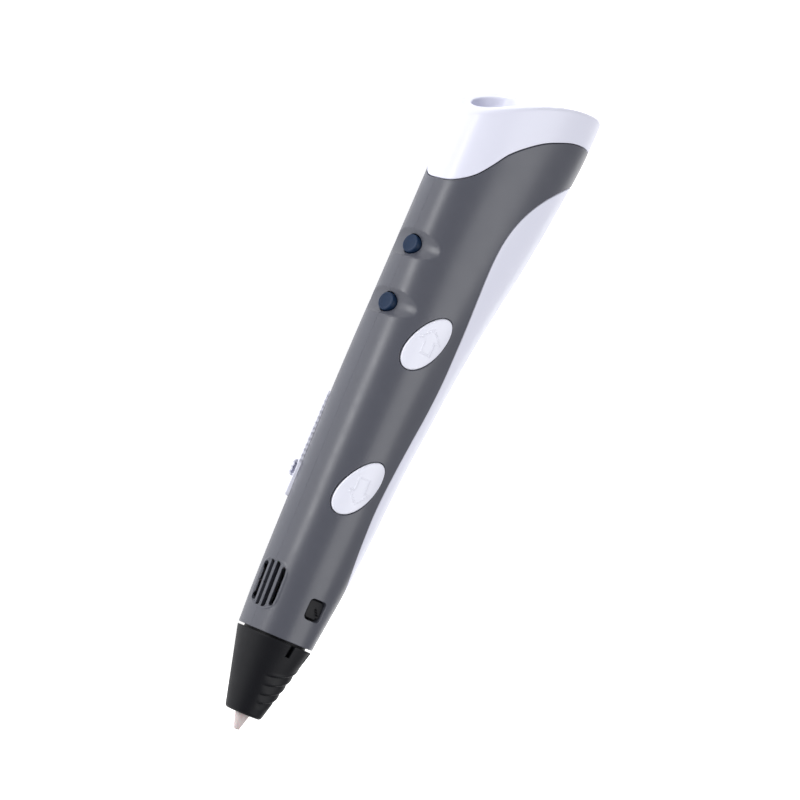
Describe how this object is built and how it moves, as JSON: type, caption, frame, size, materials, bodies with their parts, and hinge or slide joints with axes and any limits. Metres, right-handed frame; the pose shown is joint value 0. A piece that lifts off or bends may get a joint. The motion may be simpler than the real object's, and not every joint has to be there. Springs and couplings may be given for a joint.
{
  "type": "three d pen",
  "caption": "Hand-held 3D drawing pen with grey half shells, white cap and belly panel, black nose cone, ceramic nozzle, buttons, speed slider and geared filament drive.",
  "frame": {"origin": "under the middle of the pen's box, on the surface the pen lies on, on its speed-slider flank", "axes": "+X from the nozzle towards the tail, +Y from the belly towards the spine, +Z from the slider flank up to the oval buttons' flank"},
  "size_m": [0.1839, 0.0466, 0.028],
  "materials": {
    "grey_shell": "satin moulded ABS",
    "white_gloss": "glossy moulded ABS with a cool white tint",
    "black_cone": "fine-textured heat-resistant plastic",
    "ceramic": "unglazed fine ceramic",
    "brass": "machined",
    "heater_ceramic": "matt",
    "thermistor_bead": "glass-like bead",
    "peek": "machined engineering plastic",
    "ptfe": "waxy fluoropolymer",
    "white_button": "semi-gloss moulded plastic",
    "navy_button": "satin moulded plastic",
    "circuit_board": "solder-masked laminate",
    "black_plastic": "moulded plastic",
    "steel": "plated steel",
    "natural_gear": "natural acetal",
    "red_wire": "PVC insulation",
    "white_wire": "glass-fibre sleeve"
  },
  "bodies": {
    "casing": {"shell_button_side": "grey_shell", "shell_slider_side": "grey_shell", "tail_cap": "white_gloss", "belly_panel": "white_gloss", "nose_cone": "black_cone", "nozzle": "ceramic", "heater_barrel": "brass", "heater_sleeve": "heater_ceramic", "thermistor": "thermistor_bead", "insulating_collar": "peek", "feed_tube": "ptfe", "inlet_guide": "steel", "main_board": "circuit_board", "flank_switches": "black_plastic", "spine_board": "circuit_board", "spine_switches": "black_plastic", "speed_scale": "white_button", "slide_pot": "steel", "drive_chassis": "black_plastic", "motor": "steel", "reduction_pin": "steel", "idler_pin": "steel", "idler_spring": "steel", "fan_frame": "black_plastic", "dc_jack": "black_plastic", "dc_jack_pin": "brass", "case_screws": "steel", "supply_wires": "red_wire", "heater_wires": "white_wire"},
    "feed_button": {"feed_button": "white_button"},
    "retract_button": {"retract_button": "white_button"},
    "material_button": {"material_button": "navy_button"},
    "power_button": {"power_button": "navy_button"},
    "speed_knob": {"speed_knob": "white_button"},
    "motor_rotor": {"motor_shaft": "steel", "motor_pinion": "brass"},
    "reduction_gear": {"reduction_gear": "natural_gear"},
    "feed_drive": {"drive_gear": "natural_gear", "feed_wheel": "steel"},
    "idler_arm": {"idler_arm": "black_plastic"},
    "idler_bearing": {"idler_bearing": "steel"},
    "fan_rotor": {"fan_rotor": "black_plastic"}
  },
  "joints": [
    {"name": "feed_press", "type": "slide", "parent": "casing", "child": "feed_button", "axis": [0, -0.3093, -0.951], "range_m": [0, 0.0006], "stiffness_N_per_m": 400},
    {"name": "retract_press", "type": "slide", "parent": "casing", "child": "retract_button", "axis": [0, -0.3454, -0.9385], "range_m": [0, 0.0006], "stiffness_N_per_m": 400},
    {"name": "material_press", "type": "slide", "parent": "casing", "child": "material_button", "axis": [0, -1, 0], "range_m": [0, 0.0005], "stiffness_N_per_m": 400},
    {"name": "power_press", "type": "slide", "parent": "casing", "child": "power_button", "axis": [0, -1, 0], "range_m": [0, 0.0005], "stiffness_N_per_m": 400},
    {"name": "speed_slide", "type": "slide", "parent": "casing", "child": "speed_knob", "axis": [1, 0, 0], "range_m": [0, 0.018]},
    {"name": "motor_spin", "type": "hinge", "parent": "casing", "child": "motor_rotor", "pos_m": [0.069, -0.00235, 0.014], "axis": [0, 0, 1], "continuous": true},
    {"name": "reduction_spin", "type": "hinge", "parent": "casing", "child": "reduction_gear", "pos_m": [0.05913, -0.00073, 0.014], "axis": [0, 0, 1], "continuous": true},
    {"name": "feed_spin", "type": "hinge", "parent": "casing", "child": "feed_drive", "pos_m": [0.052, 0.00628, 0.014], "axis": [0, 0, 1], "continuous": true},
    {"name": "idler_swing", "type": "hinge", "parent": "casing", "child": "idler_arm", "pos_m": [0.062, 0.0161, 0.014], "axis": [0, 0, -1], "range_deg": [0, 4], "stiffness_Nm_per_rad": 0.05},
    {"name": "bearing_spin", "type": "hinge", "parent": "idler_arm", "child": "idler_bearing", "pos_m": [0.052, 0.01613, 0.014], "axis": [0, 0, 1], "continuous": true},
    {"name": "fan_spin", "type": "hinge", "parent": "casing", "child": "fan_rotor", "pos_m": [-0.0264, 0.00505, 0.014], "axis": [0, 1, 0], "continuous": true}
  ],
  "couplings": [
    {"joint": "reduction_spin", "follows": "motor_spin", "ratio": -0.33333},
    {"joint": "feed_spin", "follows": "motor_spin", "ratio": 0.11111}
  ]
}
